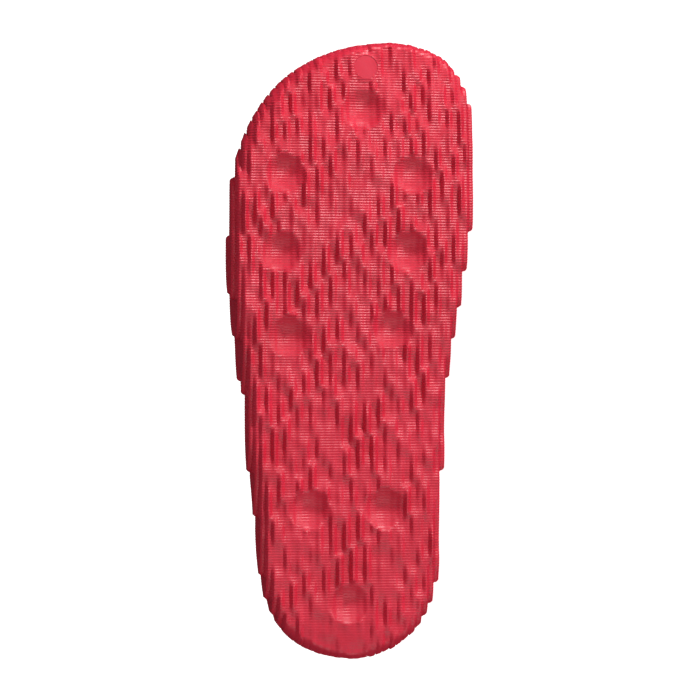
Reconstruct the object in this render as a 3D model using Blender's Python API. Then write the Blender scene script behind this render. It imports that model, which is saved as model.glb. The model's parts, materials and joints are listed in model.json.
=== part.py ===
"""Sport slide sandal for the right foot: moulded sole, footbed and one broad strap.

The shoe is drawn upright in its own frame and then laid on its inner side.
Shoe frame: X to the outer side, Y from heel to toe, Z up from the ground.
"""
import math

import bmesh
import bpy
import numpy as np
from mathutils import Matrix, Vector

# Sole, in metres
LENGTH = 0.288
BALL_WIDTH = 0.1122
HEEL_HEIGHT = 0.036
TOE_SPRING = 0.009

# Wall of the sole: where it is widest, and how far it leans in above and below that
WIDEST_INNER = 0.009
WIDEST_OUTER = 0.015
LEAN_INNER = 0.0055
LEAN_OUTER = 0.0022
# Share of the length beyond which both sides lean alike
LEAN_CHANGE = 0.768
EDGE_ROUND = 0.006
EDGE_BAND = 0.003

# Slices: the foam is shaped as upright plates that run from heel to toe
SLICE = 0.0029
LEAST_SLICES = 12
SLICE_SWELL = 0.10
RISER = 0.0003
TREAD_DEPTH = 0.0018
TREAD_ACROSS = 0.0085
TREAD_ALONG = 0.062
WALL_WAVE = 0.0016
WALL_WAVE_LENGTH = 0.047

# Round dishes in the tread, and the flat mark of the mould at the toe
DISH_RADIUS = 0.0104
DISH_DEPTH = 0.0042
MARK_RADIUS = 0.00525
MARK_DEPTH = 0.0006
PAD_RADIUS = 0.016

# Footbed and its recess
RIM_SIDE = 0.0095
RIM_END = 0.008
BED_THICKNESS = 0.006
SEAT_GAP = 0.0003

# Face of the footbed: the cup of the heel runs out forward, and the arch of the foot is raised
BED_CUP = 0.006
CUP_LEFT = 0.3
CUP_END = 0.6
ARCH_RISE = 0.004
ARCH_STATION = 0.40
ARCH_SPREAD = 0.12

# Strap
STRAP_SINK = 0.005
STRAP_WALL = 0.0075
STRAP_TUCK_OUTER = 0.0002
STRAP_TUCK_INNER = 0.0025
CLEAR_FRONT = 0.046
CLEAR_BACK = 0.062
FRONT_ADVANCE = 0.004
BACK_ADVANCE = 0.010
ADVANCE_REACH = 0.8
ADVANCE_POWER = 1.5
EDGE_STAGGER = 0.0016
STAGGER_TURN = 1.9
STRAP_OVERRUN = 0.3
ARCH_SQUARENESS = 3.1
LEAST_FOOT = 0.004

# Outline seen from above: share of the length, then middle and half width as shares of the ball width
OUTLINE_COLUMNS = ("station", "centre", "half_width")
OUTLINE = (
    (0.000, 0.000, 0.000),
    (0.045, 0.007, 0.271),
    (0.094, 0.003, 0.341),
    (0.160, 0.004, 0.376),
    (0.257, 0.014, 0.386),
    (0.340, 0.020, 0.411),
    (0.420, 0.021, 0.419),
    (0.500, 0.018, 0.442),
    (0.580, 0.014, 0.474),
    (0.655, 0.005, 0.494),
    (0.720, -0.006, 0.504),
    (0.790, -0.0145, 0.4985),
    (0.857, -0.040, 0.468),
    (0.906, -0.073, 0.426),
    (0.938, -0.094, 0.373),
    (0.971, -0.125, 0.279),
    (1.000, -0.158, 0.000),
)

# Side view: share of the length, then rim and bed as shares of the heel height, lift of the toe spring
PROFILE_COLUMNS = ("station", "rim", "bed", "lift")
PROFILE = (
    (0.00, 1.00, 0.74, 0.30),
    (0.10, 1.00, 0.72, -0.02),
    (0.24, 0.96, 0.72, -0.02),
    (0.36, 0.88, 0.72, 0.09),
    (0.47, 0.80, 0.70, 0.09),
    (0.59, 0.76, 0.65, -0.02),
    (0.74, 0.74, 0.64, -0.02),
    (0.82, 0.77, 0.66, 0.07),
    (0.90, 0.83, 0.70, 0.36),
    (1.00, 0.97, 0.80, 1.00),
)

# Round dishes of the tread: share of the length, share of the ball width outward
DISHES = (
    (0.893, -0.050),
    (0.784, 0.275),
    (0.784, -0.254),
    (0.659, 0.296),
    (0.659, -0.229),
    (0.521, 0.258),
    (0.532, -0.167),
    (0.244, 0.179),
    (0.245, -0.133),
    (0.093, 0.010),
)
MARK = (0.960, -0.056)

# Flat spots under the ball and the heel, in the same shares
PADS = ((0.708, 0.020), (0.168, 0.020))

# Strap along the sole: shares of the length
STRAP_BACK = 0.4465
STRAP_FRONT = 0.6920

# Foam: linear red, green and blue, then roughness
SOLE_FOAM = ((0.53, 0.045, 0.065), 0.5)
FOOTBED_FOAM = ((0.50, 0.040, 0.058), 0.6)
STRAP_FOAM = ((0.53, 0.045, 0.065), 0.5)

# How finely the shapes are drawn
SAMPLES = 1200
SOLE_STATIONS = 24
BED_STATIONS = 24
BED_LANES = 8
BED_END_ANGLE = 0.10
STRAP_STATIONS = 10
TUNNEL_STATIONS = 8
ARCH_STEPS = 22
END_CROWDING = 0.7
DISH_SIDES = 16
MARK_SIDES = 32
SLOPE_REACH = 0.0005
FULL_TURN = 2.0 * math.pi

# A side of the shoe's hull counts as its inner side when it faces that way at least this much
SIDE_FACING = 0.7


def clear_scene():
    """Removes every object, so that the file starts empty."""
    for found in list(bpy.data.objects):
        bpy.data.objects.remove(found, do_unlink=True)


def station_angle(station):
    """Stations as angles of a half circle, which makes both ends of the outline round."""
    return np.arccos(1.0 - 2.0 * np.clip(station, 0.0, 1.0))


def read_table(rows, columns, name, station):
    """A named column read between its rows by a smooth cubic."""
    angles = station_angle(np.array([row[0] for row in rows]))
    values = np.array([row[columns.index(name)] for row in rows])
    slopes = np.gradient(values, angles)
    wanted = station_angle(station)
    row = np.clip(np.searchsorted(angles, wanted) - 1, 0, len(angles) - 2)
    width = angles[row + 1] - angles[row]
    t = (wanted - angles[row]) / width
    start = (1.0 + 2.0 * t) * (1.0 - t) ** 2 * values[row]
    start += t * (1.0 - t) ** 2 * width * slopes[row]
    end = t ** 2 * (3.0 - 2.0 * t) * values[row + 1]
    end += t ** 2 * (t - 1.0) * width * slopes[row + 1]
    return start + end


def centre(y):
    """Middle of the outline at y."""
    return BALL_WIDTH * read_table(OUTLINE, OUTLINE_COLUMNS, "centre", y / LENGTH)


def half_width(y):
    """Half the width of the outline at y."""
    return BALL_WIDTH * read_table(OUTLINE, OUTLINE_COLUMNS, "half_width", y / LENGTH)


def rim(y):
    """Height of the sole's rim."""
    return HEEL_HEIGHT * read_table(PROFILE, PROFILE_COLUMNS, "rim", y / LENGTH)


def bed(y):
    """Height of the footbed along its middle."""
    return HEEL_HEIGHT * read_table(PROFILE, PROFILE_COLUMNS, "bed", y / LENGTH)


def lift(y):
    """Height of the tread's lowest surface: toe spring, arch and heel bevel, flat elsewhere."""
    return TOE_SPRING * np.maximum(read_table(PROFILE, PROFILE_COLUMNS, "lift", y / LENGTH), 0.0)


def bed_station(y):
    """Station of the recess outline at y."""
    return (y - RIM_END) / (LENGTH - 2.0 * RIM_END)


def bed_half_width(station):
    """Half the width of the recess at a station of its own length."""
    return (BALL_WIDTH - 2.0 * RIM_SIDE) * read_table(OUTLINE, OUTLINE_COLUMNS, "half_width", station)


def bed_centre(station):
    """Middle of the recess at a station of its own length."""
    return BALL_WIDTH * read_table(OUTLINE, OUTLINE_COLUMNS, "centre", station)


def strap_seat():
    """Height of the ledge that the strap stands on."""
    y = np.linspace(STRAP_BACK, STRAP_FRONT, SAMPLES) * LENGTH
    return float(rim(y).min()) - STRAP_SINK


def slice_edges():
    """Borders of the slices, from the inner side to the outer side and one slice beyond."""
    y = np.linspace(0.0, LENGTH, SAMPLES)
    low = float((centre(y) - half_width(y)).min())
    high = float((centre(y) + half_width(y)).max())
    count = max(LEAST_SLICES, round((high - low) / SLICE))
    u = np.linspace(-1.0, 1.0, count + 1)
    edges = (high + low) / 2.0 + (high - low) / 2.0 * (u + SLICE_SWELL * np.sin(math.pi * u) / math.pi)
    beyond = 2.0 * edges[-1] - edges[-2]
    return np.append(edges, beyond)


def span_where(y, inside):
    """First and last y at which something is inside, or nothing."""
    found = y[inside > 0.0]
    if len(found) < 2:
        return None
    return float(found[0]), float(found[-1])


def edge_distance(x, y):
    """How far a point lies in from the outline."""
    behind = np.clip(y - SLOPE_REACH, 0.0, LENGTH)
    ahead = np.clip(y + SLOPE_REACH, 0.0, LENGTH)
    inside = half_width(y) - np.abs(x - centre(y))
    change = half_width(ahead) - np.abs(x - centre(ahead)) - half_width(behind) + np.abs(x - centre(behind))
    return np.maximum(inside, 0.0) / np.hypot(1.0, change / (ahead - behind))


def side_share(x, y):
    """0 at the inner side of the outline, 1 at the outer side."""
    return np.clip(0.5 + (x - centre(y)) / np.maximum(2.0 * half_width(y), RIM_SIDE), 0.0, 1.0)


def pad_share(x, y):
    """1 on the flat spots at heel and forefoot, 0 away from them."""
    share = np.zeros_like(y)
    for station, across in PADS:
        away = np.hypot(x - across * BALL_WIDTH, y - station * LENGTH) / PAD_RADIUS
        share = np.maximum(share, np.clip(2.0 - away, 0.0, 1.0))
    return share


def tread(x, y):
    """Height of one slice's waves over the lowest surface."""
    wave = np.sin(FULL_TURN * (x / TREAD_ACROSS - y / TREAD_ALONG))
    return TREAD_DEPTH * 0.5 * (1.0 + wave) * (1.0 - pad_share(x, y))


def sole_heights(x, y):
    """Underside and top of the sole for the slice whose middle is at x."""
    side = side_share(x, y)
    distance = edge_distance(x, y)
    widest = WIDEST_INNER + (WIDEST_OUTER - WIDEST_INNER) * side
    upright = np.where(y < LEAN_CHANGE * LENGTH, side, 0.0)
    lean = LEAN_INNER + (LEAN_OUTER - LEAN_INNER) * upright
    wave = WALL_WAVE * np.sin(FULL_TURN * (y / WALL_WAVE_LENGTH + x / TREAD_ACROSS))
    away = 1.0 - np.clip(distance / EDGE_ROUND, 0.0, 1.0)
    rounding = 1.0 - np.sqrt(1.0 - away ** 2)
    leaning = np.clip(1.0 - distance / lean, 0.0, 1.0)
    ground = lift(y)
    under = ground + tread(x, y) * (1.0 - rounding) + (widest + wave * away) * rounding
    shoulder = ground + widest + wave * away + EDGE_BAND
    top = rim(y) - (rim(y) - shoulder) * leaning
    return under, np.maximum(top, under + EDGE_BAND)


def strap_sides(y):
    """Inner and outer limits of the strap at y."""
    inner = centre(y) - half_width(y) + STRAP_TUCK_INNER
    outer = centre(y) + half_width(y) - STRAP_TUCK_OUTER
    return inner, outer


def strap_share(y):
    """0 at the back edge of the strap's feet, 1 at the front edge."""
    share = (y / LENGTH - STRAP_BACK) / (STRAP_FRONT - STRAP_BACK)
    return np.clip(share, -STRAP_OVERRUN, 1.0 + STRAP_OVERRUN)


def tunnel_height(y):
    """Height of the arch under the strap, over the ledge."""
    return CLEAR_BACK + (CLEAR_FRONT - CLEAR_BACK) * strap_share(y)


def strap_top(x, y):
    """Height of the strap's outer face over the ledge, for the slice whose middle is at x."""
    inner, outer = strap_sides(y)
    u = np.clip(np.abs(2.0 * x - inner - outer) / (outer - inner), 0.0, 1.0)
    crown = tunnel_height(y) + STRAP_WALL
    return crown * (1.0 - u ** ARCH_SQUARENESS) ** (1.0 / ARCH_SQUARENESS)


def strap_reach(x, number):
    """Back and front end of one slice of the strap."""
    y = np.linspace(STRAP_BACK, STRAP_FRONT, SAMPLES) * LENGTH
    inner, outer = strap_sides(y)
    middle = float(np.mean(inner + outer)) / 2.0
    u = abs(x - middle) / float(np.mean(outer - inner)) * 2.0
    advance = max(0.0, 1.0 - (u / ADVANCE_REACH) ** 2) ** ADVANCE_POWER
    stagger = EDGE_STAGGER * (0.5 + 0.5 * math.sin(STAGGER_TURN * number))
    back = y[0] + stagger - BACK_ADVANCE * advance
    front = y[-1] - stagger + FRONT_ADVANCE * advance
    y = np.linspace(back, front, SAMPLES)
    return span_where(y, strap_top(x, y) - LEAST_FOOT)


def solid_between(name, low, top):
    """One closed body between two grids of points that lie over each other."""
    rows = len(low)
    lanes = len(low[0])
    shape = bmesh.new()
    under = [[shape.verts.new(point) for point in row] for row in low]
    over = [[shape.verts.new(point) for point in row] for row in top]
    for r in range(rows - 1):
        for n in range(lanes - 1):
            shape.faces.new((under[r][n], under[r][n + 1], under[r + 1][n + 1], under[r + 1][n]))
            shape.faces.new((over[r][n], over[r + 1][n], over[r + 1][n + 1], over[r][n + 1]))
        for n in (0, lanes - 1):
            shape.faces.new((under[r][n], under[r + 1][n], over[r + 1][n], over[r][n]))
    for r in (0, rows - 1):
        for n in range(lanes - 1):
            shape.faces.new((under[r][n], over[r][n], over[r][n + 1], under[r][n + 1]))
    bmesh.ops.recalc_face_normals(shape, faces=shape.faces)
    bmesh.ops.triangulate(shape, faces=shape.faces, quad_method="FIXED")
    return finish_mesh(name, shape)


def loft(name, rings):
    """One closed body through rings of points, with flat ends."""
    shape = bmesh.new()
    loops = [[shape.verts.new(point) for point in ring] for ring in rings]
    for first, second in zip(loops, loops[1:]):
        for n in range(len(first)):
            after = (n + 1) % len(first)
            shape.faces.new((first[n], first[after], second[after], second[n]))
    shape.faces.new(loops[0])
    shape.faces.new(loops[-1])
    bmesh.ops.recalc_face_normals(shape, faces=shape.faces)
    return finish_mesh(name, shape)


def finish_mesh(name, shape):
    """Turns a bmesh into an object's mesh."""
    mesh = bpy.data.meshes.new(name)
    shape.to_mesh(mesh)
    shape.free()
    return bpy.data.objects.new(name, mesh)


def stack(name, plates, stations):
    """Upright plates side by side, with a steep riser between neighbours.

    A plate is its two borders, its ends along Y and a function for its underside and top.
    """
    even = np.linspace(0.0, 1.0, stations + 1)
    crowded = (1.0 - np.cos(math.pi * even)) / 2.0
    shares = even + END_CROWDING * (crowded - even)
    low = []
    top = []
    for left, right, back, front, heights in plates:
        y = back + (front - back) * shares
        under, over = heights((left + right) / 2.0, y)
        for x in (left + RISER / 2.0, right - RISER / 2.0):
            low.append([(x, y[n], under[n]) for n in range(len(y))])
            top.append([(x, y[n], over[n]) for n in range(len(y))])
    return solid_between(name, low, top)


def sole_block():
    """The sole before anything is cut from it."""
    y = np.linspace(0.0, LENGTH, SAMPLES)
    edges = slice_edges()[:-1]
    plates = []
    for left, right in zip(edges, edges[1:]):
        x = (left + right) / 2.0
        reach = span_where(y, half_width(y) - np.abs(x - centre(y)))
        plates.append((left, right, reach[0], reach[1], sole_heights))
    return stack("sole_unit", plates, SOLE_STATIONS)


def strap_block():
    """The strap before its tunnel is cut."""
    seat = strap_seat() + SEAT_GAP

    def heights(x, y):
        return np.full_like(y, seat), seat + strap_top(x, y)

    edges = slice_edges()
    plates = []
    for number, (left, right) in enumerate(zip(edges, edges[1:])):
        reach = strap_reach((left + right) / 2.0, number)
        if reach is not None and reach[1] - reach[0] > LEAST_FOOT:
            plates.append((left, right, reach[0], reach[1], heights))
    return stack("strap_upper", plates, STRAP_STATIONS)


def bed_grid(gap, under, over):
    """Points of the footbed's underside and top, drawn in by a gap all round."""
    low = []
    top = []
    for angle in np.linspace(BED_END_ANGLE, math.pi - BED_END_ANGLE, BED_STATIONS + 1):
        station = (1.0 - math.cos(angle)) / 2.0
        y = RIM_END + gap + station * (LENGTH - 2.0 * (RIM_END + gap))
        half = float(bed_half_width(station)) - gap
        middle = float(bed_centre(station))
        lanes = np.linspace(-1.0, 1.0, BED_LANES + 1)
        low.append([(middle + u * half, y, under(y, u)) for u in lanes])
        top.append([(middle + u * half, y, over(y, u)) for u in lanes])
    return low, top


def bed_floor(y):
    """Height of the recess floor."""
    return float(bed(y)) - BED_THICKNESS


def bed_face(y, u):
    """Height of the footbed's face: cupped at the heel, raised under the arch of the foot."""
    share = y / LENGTH
    cup = BED_CUP * (CUP_LEFT + (1.0 - CUP_LEFT) * float(np.clip(1.0 - share / CUP_END, 0.0, 1.0)))
    arch = ARCH_RISE * math.exp(-((share - ARCH_STATION) / ARCH_SPREAD) ** 2) * max(0.0, -u) ** 2
    return float(bed(y)) + cup * abs(u) ** 3 + arch


def make_footbed():
    """The insole, clear of its recess by the seat gap."""
    low, top = bed_grid(SEAT_GAP, lambda y, u: bed_floor(y) + SEAT_GAP, bed_face)
    return solid_between("footbed", low, top)


def recess_cutter():
    """The recess, open above."""
    above = HEEL_HEIGHT + CLEAR_BACK
    low, top = bed_grid(0.0, lambda y, u: bed_floor(y), lambda y, u: above)
    return solid_between("recess", low, top)


def ledge_cutter():
    """Lowers the rim to the ledge where the strap's feet stand."""
    back = STRAP_BACK * LENGTH - SEAT_GAP
    front = STRAP_FRONT * LENGTH + SEAT_GAP
    seat = strap_seat()
    low = [[(side * BALL_WIDTH, y, seat) for y in (back, front)] for side in (-1.0, 1.0)]
    top = [[(side * BALL_WIDTH, y, seat + HEEL_HEIGHT) for y in (back, front)] for side in (-1.0, 1.0)]
    return solid_between("ledge", low, top)


def tunnel_cutter():
    """The room for the foot under the strap."""
    seat = strap_seat()
    over = (BACK_ADVANCE + FRONT_ADVANCE) / LENGTH
    rings = []
    for share in np.linspace(STRAP_BACK - over, STRAP_FRONT + over, TUNNEL_STATIONS + 1):
        y = share * LENGTH
        half = float(bed_half_width(bed_station(y)))
        middle = float(bed_centre(bed_station(y)))
        crown = float(tunnel_height(y))
        ring = [(middle - half, y, 0.0), (middle + half, y, 0.0)]
        for angle in np.linspace(0.0, math.pi, ARCH_STEPS + 1):
            reach = abs(math.cos(angle)) ** (2.0 / ARCH_SQUARENESS)
            rise = abs(math.sin(angle)) ** (2.0 / ARCH_SQUARENESS)
            x = middle + math.copysign(half * reach, math.cos(angle))
            ring.append((x, y, seat + crown * rise))
        rings.append(ring)
    return loft("tunnel", rings)


def dish_cutter():
    """Ten balls that leave round dishes in the tread."""
    ball = (DISH_RADIUS ** 2 + DISH_DEPTH ** 2) / (2.0 * DISH_DEPTH)
    shape = bmesh.new()
    for station, across in DISHES:
        y = station * LENGTH
        height = float(lift(y)) + DISH_DEPTH - ball
        place = Matrix.Translation((across * BALL_WIDTH, y, height))
        bmesh.ops.create_uvsphere(shape, u_segments=DISH_SIDES, v_segments=DISH_SIDES,
                                  radius=ball, matrix=place)
    return finish_mesh("dishes", shape)


def mark_cutter():
    """A shallow drum that leaves the mould's flat mark at the toe."""
    y = MARK[0] * LENGTH
    slope = float(lift(y + MARK_RADIUS) - lift(y - MARK_RADIUS)) / (2.0 * MARK_RADIUS)
    depth = 2.0 * TOE_SPRING
    surface = float(lift(y)) + TREAD_DEPTH + MARK_DEPTH
    turn = Matrix.Rotation(math.atan(slope), 4, "X")
    place = Matrix.Translation((MARK[1] * BALL_WIDTH, y, surface)) @ turn
    shape = bmesh.new()
    bmesh.ops.create_cone(shape, cap_ends=True, segments=MARK_SIDES, radius1=MARK_RADIUS,
                          radius2=MARK_RADIUS, depth=depth,
                          matrix=place @ Matrix.Translation((0.0, 0.0, -depth / 2.0)))
    return finish_mesh("mark", shape)


def foam(name, colour, roughness):
    """Moulded foam in one colour."""
    material = bpy.data.materials.new(name)
    material.use_nodes = True
    shader = material.node_tree.nodes["Principled BSDF"]
    shader.inputs["Base Color"].default_value = (*colour, 1.0)
    shader.inputs["Roughness"].default_value = roughness
    shader.inputs["Metallic"].default_value = 0.0
    return material


def cut(piece, cutter):
    """Takes a cutter out of a piece."""
    modifier = piece.modifiers.new("cut_" + cutter.name, "BOOLEAN")
    modifier.operation = "DIFFERENCE"
    modifier.solver = "EXACT"
    modifier.object = cutter


def outer_shape(pieces):
    """Every corner of the cut pieces, and the middle of their volume."""
    bpy.context.view_layer.update()
    graph = bpy.context.evaluated_depsgraph_get()
    corners = []
    moment = Vector()
    volume = 0.0
    for piece in pieces:
        mesh = piece.evaluated_get(graph).to_mesh()
        mesh.calc_loop_triangles()
        corners.extend(vertex.co.copy() for vertex in mesh.vertices)
        for triangle in mesh.loop_triangles:
            a, b, c = (mesh.vertices[n].co for n in triangle.vertices)
            part = a.dot(b.cross(c)) / 6.0
            moment += part * (a + b + c) / 4.0
            volume += part
        piece.evaluated_get(graph).to_mesh_clear()
    return corners, moment / volume


def holds(face, point):
    """Whether a point lies over a face, seen along the face's normal."""
    corners = [vertex.co for vertex in face.verts]
    for first, second in zip(corners, corners[1:] + corners[:1]):
        if (second - first).cross(point - first).dot(face.normal) < 0.0:
            return False
    return True


def resting_normal(corners, middle):
    """Outward normal of the plane that the shoe lies on when laid on its inner side."""
    hull = bmesh.new()
    for corner in corners:
        hull.verts.new(corner)
    bmesh.ops.convex_hull(hull, input=hull.verts)
    hull.normal_update()
    inner = Vector((-1.0, 0.0, 0.0))
    faces = [face for face in hull.faces if face.normal.dot(inner) > SIDE_FACING and holds(face, middle)]
    best = max(faces, key=lambda face: face.normal.dot(inner))
    normal = best.normal.copy()
    hull.free()
    return normal


def lying_matrix(pieces):
    """Turns the upright shoe onto its inner side, centred over the origin on the floor."""
    corners, middle = outer_shape(pieces)
    up = -resting_normal(corners, middle)
    toe = Vector((0.0, 1.0, 0.0))
    toe = (toe - toe.dot(up) * up).normalized()
    turn = Matrix((toe, up.cross(toe), up)).to_4x4()
    turned = [turn @ corner for corner in corners]
    low = [min(point[axis] for point in turned) for axis in range(3)]
    high = [max(point[axis] for point in turned) for axis in range(3)]
    drop = Vector((-(low[0] + high[0]) / 2.0, -(low[1] + high[1]) / 2.0, -low[2]))
    return Matrix.Translation(drop) @ turn


def main():
    clear_scene()
    slide = bpy.data.collections.new("slide_sandal")
    cutters = bpy.data.collections.new("cutters")
    bpy.context.scene.collection.children.link(slide)
    bpy.context.scene.collection.children.link(cutters)

    sole = sole_block()
    footbed = make_footbed()
    strap = strap_block()
    pieces = (sole, footbed, strap)
    recess = recess_cutter()
    ledge = ledge_cutter()
    tunnel = tunnel_cutter()
    dishes = dish_cutter()
    mark = mark_cutter()
    tools = (recess, ledge, tunnel, dishes, mark)

    sole.data.materials.append(foam("sole_foam", *SOLE_FOAM))
    footbed.data.materials.append(foam("footbed_foam", *FOOTBED_FOAM))
    strap.data.materials.append(foam("strap_foam", *STRAP_FOAM))

    for piece in pieces:
        slide.objects.link(piece)
    for tool in tools:
        cutters.objects.link(tool)
        tool.hide_render = True
        tool.display_type = "WIRE"

    cut(sole, recess)
    cut(sole, ledge)
    cut(sole, dishes)
    cut(sole, mark)
    cut(strap, tunnel)

    frame = bpy.data.objects.new("shoe_frame", None)
    slide.objects.link(frame)
    lying = lying_matrix(pieces)
    for child in pieces + tools:
        child.parent = frame
    frame.matrix_world = lying
    bpy.context.view_layer.update()


main()
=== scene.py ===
import json
import math

import bmesh
import bpy
import numpy as np
from mathutils import Matrix, Vector


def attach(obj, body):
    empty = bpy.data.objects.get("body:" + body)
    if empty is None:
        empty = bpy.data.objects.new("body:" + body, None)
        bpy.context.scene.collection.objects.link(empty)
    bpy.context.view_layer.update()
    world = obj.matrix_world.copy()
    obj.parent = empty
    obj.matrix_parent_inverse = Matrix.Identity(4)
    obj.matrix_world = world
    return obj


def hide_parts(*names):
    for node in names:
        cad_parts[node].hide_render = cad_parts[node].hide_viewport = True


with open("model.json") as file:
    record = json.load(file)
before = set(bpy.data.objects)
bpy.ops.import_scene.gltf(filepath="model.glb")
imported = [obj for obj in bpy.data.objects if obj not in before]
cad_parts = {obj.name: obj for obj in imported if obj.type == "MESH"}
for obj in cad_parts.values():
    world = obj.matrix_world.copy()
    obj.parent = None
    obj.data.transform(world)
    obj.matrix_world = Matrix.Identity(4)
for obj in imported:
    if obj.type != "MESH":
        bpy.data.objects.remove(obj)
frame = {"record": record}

bl_info = {
    "name": "Slide sandal",
    "version": (1, 0, 0),
    "blender": (4, 5, 0),
    "location": "3D View > Sidebar > Slide",
    "description": "Builds the foam slide sandal around its packed solids: sole, footbed, strap and stage",
    "category": "Object",
}

# Sizes of the shoe in metres, with their shares. Shoe frame: X to the outer side, Y to the toe, Z up
LENGTH = 0.288
BALL_WIDTH = 0.1122
HEEL_HEIGHT = 0.036
TOE_SPRING = 0.009
WIDEST_INNER = 0.009
WIDEST_OUTER = 0.015
LEAN_INNER = 0.0055
LEAN_OUTER = 0.0022
LEAN_CHANGE = 0.768
EDGE_ROUND = 0.006
EDGE_BAND = 0.003
SLICE = 0.0029
LEAST_SLICES = 12
SLICE_SWELL = 0.10
WALL_WAVE = 0.0016
WALL_WAVE_LENGTH = 0.047
WALL_WAVE_ACROSS = 0.0085
DISH_RADIUS = 0.0104
DISH_DEPTH = 0.0050
DISH_RIM = 0.0012
SWELL_DEPTH = 0.00017
MARK_RADIUS = 0.0055
MARK_DEPTH = 0.0003
MARK_LEVEL = 0.35
RIM_SIDE = 0.0095
RIM_END = 0.008
BED_THICKNESS = 0.006
BED_EDGE = (0.965, 0.035)
BED_EDGE_DROP = 0.0012
BED_CUP = 0.006
CUP_LEFT = 0.3
CUP_END = 0.6
ARCH_RISE = 0.004
ARCH_STATION = 0.40
ARCH_SPREAD = 0.12
SEAT_GAP = 0.0003
STRAP_SINK = 0.005
STRAP_WALL = 0.0075
STRAP_TUCK_OUTER = 0.0002
STRAP_TUCK_INNER = 0.0025
CLEAR_FRONT = 0.046
CLEAR_BACK = 0.062
FRONT_ADVANCE = 0.004
BACK_ADVANCE = 0.010
ADVANCE_REACH = 0.8
ADVANCE_POWER = 1.5
EDGE_STAGGER = 0.0016
STAGGER_TURN = 1.9
STRAP_OVERRUN = 0.3
ARCH_SQUARENESS = 3.1
LEAST_FOOT = 0.004
LEAST_STRAP = 0.002
STRAP_BACK = 0.4465
STRAP_FRONT = 0.6920
HEEL_PAD = (0.168, 0.020)

# Outline seen from above: share of the length, then middle and half width as shares of the ball width
OUTLINE_COLUMNS = ("station", "centre", "half_width")
OUTLINE = (
    (0.000, 0.000, 0.000),
    (0.045, 0.007, 0.271),
    (0.094, 0.003, 0.341),
    (0.160, 0.004, 0.376),
    (0.257, 0.014, 0.386),
    (0.340, 0.020, 0.411),
    (0.420, 0.021, 0.419),
    (0.500, 0.018, 0.442),
    (0.580, 0.014, 0.474),
    (0.655, 0.005, 0.494),
    (0.720, -0.006, 0.504),
    (0.790, -0.0145, 0.4985),
    (0.857, -0.040, 0.468),
    (0.906, -0.073, 0.426),
    (0.938, -0.094, 0.373),
    (0.971, -0.125, 0.279),
    (1.000, -0.158, 0.000),
)

# Side view: share of the length, then rim and bed as shares of the heel height, lift of the toe spring
PROFILE_COLUMNS = ("station", "rim", "bed", "lift")
PROFILE = (
    (0.00, 1.00, 0.74, 0.30),
    (0.10, 1.00, 0.72, -0.02),
    (0.24, 0.96, 0.72, -0.02),
    (0.36, 0.88, 0.72, 0.09),
    (0.47, 0.80, 0.70, 0.09),
    (0.59, 0.76, 0.65, -0.02),
    (0.74, 0.74, 0.64, -0.02),
    (0.82, 0.77, 0.66, 0.07),
    (0.90, 0.83, 0.70, 0.36),
    (1.00, 0.97, 0.80, 1.00),
)

# Round dishes of the tread: share of the length, share of the ball width outward
DISHES = (
    (0.893, -0.050),
    (0.784, 0.275),
    (0.784, -0.254),
    (0.659, 0.296),
    (0.659, -0.229),
    (0.521, 0.258),
    (0.532, -0.167),
    (0.244, 0.179),
    (0.245, -0.133),
    (0.093, 0.010),
)
MARK = (0.957, -0.063)

# Waves of the tread, of its toe, of the patches where they are stronger, and of the gentle swell:
# strength, length across and length along in millimetres, start in turns
WAVES = (
    (0.60, -8.0, 29.9, 0.10),
    (0.55, -6.31, 34.1, 0.37),
    (0.50, -17.1, 26.6, 0.62),
    (0.50, 6.6, 38.0, 0.81),
    (0.45, -47.7, 24.6, 0.05),
    (0.45, -5.6, -41.7, 0.49),
    (0.40, 12.3, 21.7, 0.23),
    (0.40, 7.4, -55.0, 0.71),
    (0.35, -9.6, 18.3, 0.93),
    (0.35, 5.9, 73.0, 0.29),
)
TOE_WAVES = (
    (1.00, -14.07, -119.7, 0.15),
    (0.80, -26.6, 34.1, 0.55),
    (0.70, -8.9, -119.7, 0.80),
    (0.50, -6.31, 34.1, 0.33),
    (0.80, 6.2, 24.0, 0.60),
    (0.60, -7.1, 19.0, 0.10),
    (0.50, 9.3, -27.0, 0.45),
)
PATCH_WAVES = (
    (1.00, 61.0, 47.0, 0.20),
    (0.80, -38.0, 71.0, 0.65),
    (0.70, 23.0, -35.0, 0.40),
)
SWELL_WAVES = (
    (1.00, 21.0, 13.0, 0.10),
    (0.90, -16.0, 11.5, 0.45),
    (0.80, 34.0, -9.5, 0.75),
    (0.60, -9.0, 17.0, 0.30),
)

# Change of strength by the patches, strength at the heel, and what the toe adds
PATCHES = 0.35
HEEL_CALM = 0.45
TOE_EXTRA = 0.4

# Stretches of the length, as shares of it, over which waves or ribs come in
TOE_WAVES_RISE = (0.80, 0.90)
HEEL_WAVES_RISE = (0.02, 0.22)
HEEL_RIBS_RISE = (0.03, 0.10)
MIDDLE_RIBS_RISE = (0.30, 0.65)

# Near toe and heel, the wall's height and the slices' ends follow the smooth outline and not the slices.
# On the outer half, which is given in metres across, this starts further back at the toe
OUTER_HALF = (-0.030, 0.0)
EVEN_OUTER_TOE = (0.80, 0.86)
EVEN_TOE = (0.93, 0.97)
EVEN_HEEL = (0.03, 0.07)
TRIM_OUTER_TOE = (0.80, 0.83)
TRIM_TOE = (0.945, 0.965)
TRIM_HEEL = (0.05, 0.08)

FULL_TURN = 2.0 * math.pi
MILLIMETRE = 0.001

# Height that lies below anything else
FAR_BELOW = -1.0

# Part of the slice's step that a dish's floor takes over
DISH_STEP = 0.25

# A rib's groove lies this share of the pitch towards the toe from its crest
GROOVE_PLACE = 0.32

# Rounded edge of a slice, as shares of the soft edge's width: least and most drop, and step at a free edge
EDGE_GROOVE = 0.05
EDGE_MOST = 0.8
EDGE_FREE = 4.0

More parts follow.
